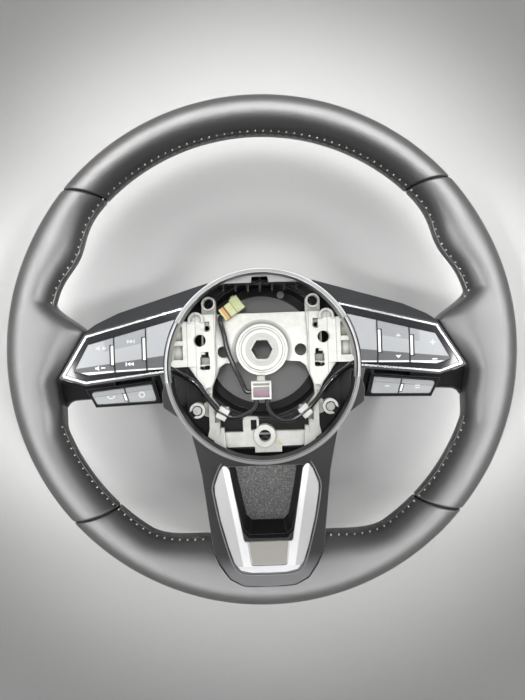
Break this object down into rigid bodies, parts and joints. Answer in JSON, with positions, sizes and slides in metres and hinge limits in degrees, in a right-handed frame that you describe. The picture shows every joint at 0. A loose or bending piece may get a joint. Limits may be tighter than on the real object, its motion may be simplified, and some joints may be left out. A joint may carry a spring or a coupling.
{
  "type": "car steering wheel",
  "caption": "Round leather-covered steering wheel with three spokes, thumb rests, rocker switches on the side spokes and an open hub that shows the casting, connectors and leads.",
  "frame": {"origin": "centre of the hexagonal column hole at the hub's rear seat", "axes": "+Z along the steering column towards the driver, +Y towards twelve o'clock, +X to the driver's right"},
  "size_m": [0.3698, 0.37, 0.088],
  "materials": {
    "casting": "raw die-cast, pale with slight stains",
    "steel": "zinc-plated",
    "dark_steel": "black-plated",
    "foam": "moulded polyurethane foam",
    "leather": "smooth dark leather, satin",
    "bezel_plastic": "graphite satin lacquer",
    "grained_plastic": "fine-grained black",
    "satin_trim": "satin silver",
    "chrome_trim": "satin chrome",
    "gloss_black": "piano black",
    "key_silver": "silver lacquer",
    "board": "solder-masked circuit board",
    "white_plastic": "natural nylon",
    "yellow_plastic": "pale yellow-green nylon",
    "grey_plastic": "grey",
    "black_plastic": "plain",
    "sleeve": "glossy sleeve"
  },
  "bodies": {
    "wheel": {"armature": "casting", "hub_insert": "steel", "rim_foam": "foam", "leather_top": "leather", "leather_bottom": "leather", "leather_left": "leather", "leather_right": "leather", "upper_bezel": "bezel_plastic", "lower_cover": "grained_plastic", "spoke_insert": "satin_trim", "rear_cover": "grained_plastic", "rear_wing_left": "grained_plastic", "rear_wing_right": "grained_plastic", "rear_leg": "grained_plastic", "housing_left": "gloss_black", "housing_right": "gloss_black", "board_left": "board", "board_right": "board", "trim_left": "chrome_trim", "trim_right": "chrome_trim", "blank_left": "key_silver", "blank_right": "key_silver", "pod_left": "grained_plastic", "pod_right": "grained_plastic", "spring_left": "steel", "spring_right": "steel", "spring_lower": "steel", "connector_main": "white_plastic", "connector_airbag": "yellow_plastic", "harness_clips": "white_plastic", "plug_left": "black_plastic", "plug_right": "black_plastic", "lead_left": "sleeve", "lead_right": "sleeve", "lead_airbag": "sleeve", "front_screws": "steel", "rear_screws": "dark_steel", "cover_plug": "grey_plastic"},
    "carrier_inner_left": {"carrier_inner_left": "white_plastic"},
    "key_inner_left": {"key_inner_left": "key_silver"},
    "carrier_outer_left": {"carrier_outer_left": "white_plastic"},
    "key_outer_left": {"key_outer_left": "key_silver"},
    "pod_key_inner_left": {"pod_key_inner_left": "key_silver"},
    "pod_key_outer_left": {"pod_key_outer_left": "key_silver"},
    "carrier_inner_right": {"carrier_inner_right": "white_plastic"},
    "key_inner_right": {"key_inner_right": "key_silver"},
    "carrier_outer_right": {"carrier_outer_right": "white_plastic"},
    "key_outer_right": {"key_outer_right": "key_silver"},
    "pod_key_inner_right": {"pod_key_inner_right": "key_silver"},
    "pod_key_outer_right": {"pod_key_outer_right": "key_silver"}
  },
  "joints": [
    {"name": "inner_press_left", "type": "slide", "parent": "wheel", "child": "carrier_inner_left", "axis": [0, 0, -1], "range_m": [0, 0.0008], "stiffness_N_per_m": 900},
    {"name": "inner_rock_left", "type": "hinge", "parent": "carrier_inner_left", "child": "key_inner_left", "pos_m": [-0.096, 0.0022, 0.0546], "axis": [1, 0, 0], "range_deg": [-3, 3], "stiffness_Nm_per_rad": 0.06},
    {"name": "outer_press_left", "type": "slide", "parent": "wheel", "child": "carrier_outer_left", "axis": [0, 0, -1], "range_m": [0, 0.0008], "stiffness_N_per_m": 900},
    {"name": "outer_rock_left", "type": "hinge", "parent": "carrier_outer_left", "child": "key_outer_left", "pos_m": [-0.1168, -0.0016, 0.0546], "axis": [1, 0, 0], "range_deg": [-3, 3], "stiffness_Nm_per_rad": 0.06},
    {"name": "pod_inner_press_left", "type": "slide", "parent": "wheel", "child": "pod_key_inner_left", "axis": [0, 0, -1], "range_m": [0, 0.0012], "stiffness_N_per_m": 700},
    {"name": "pod_outer_press_left", "type": "slide", "parent": "wheel", "child": "pod_key_outer_left", "axis": [0, 0, -1], "range_m": [0, 0.0012], "stiffness_N_per_m": 700},
    {"name": "inner_press_right", "type": "slide", "parent": "wheel", "child": "carrier_inner_right", "axis": [0, 0, -1], "range_m": [0, 0.0008], "stiffness_N_per_m": 900},
    {"name": "inner_rock_right", "type": "hinge", "parent": "carrier_inner_right", "child": "key_inner_right", "pos_m": [0.096, 0.0022, 0.0546], "axis": [1, 0, 0], "range_deg": [-3, 3], "stiffness_Nm_per_rad": 0.06},
    {"name": "outer_press_right", "type": "slide", "parent": "wheel", "child": "carrier_outer_right", "axis": [0, 0, -1], "range_m": [0, 0.0008], "stiffness_N_per_m": 900},
    {"name": "outer_rock_right", "type": "hinge", "parent": "carrier_outer_right", "child": "key_outer_right", "pos_m": [0.1168, -0.0016, 0.0546], "axis": [1, 0, 0], "range_deg": [-3, 3], "stiffness_Nm_per_rad": 0.06},
    {"name": "pod_inner_press_right", "type": "slide", "parent": "wheel", "child": "pod_key_inner_right", "axis": [0, 0, -1], "range_m": [0, 0.0012], "stiffness_N_per_m": 700},
    {"name": "pod_outer_press_right", "type": "slide", "parent": "wheel", "child": "pod_key_outer_right", "axis": [0, 0, -1], "range_m": [0, 0.0012], "stiffness_N_per_m": 700}
  ]
}
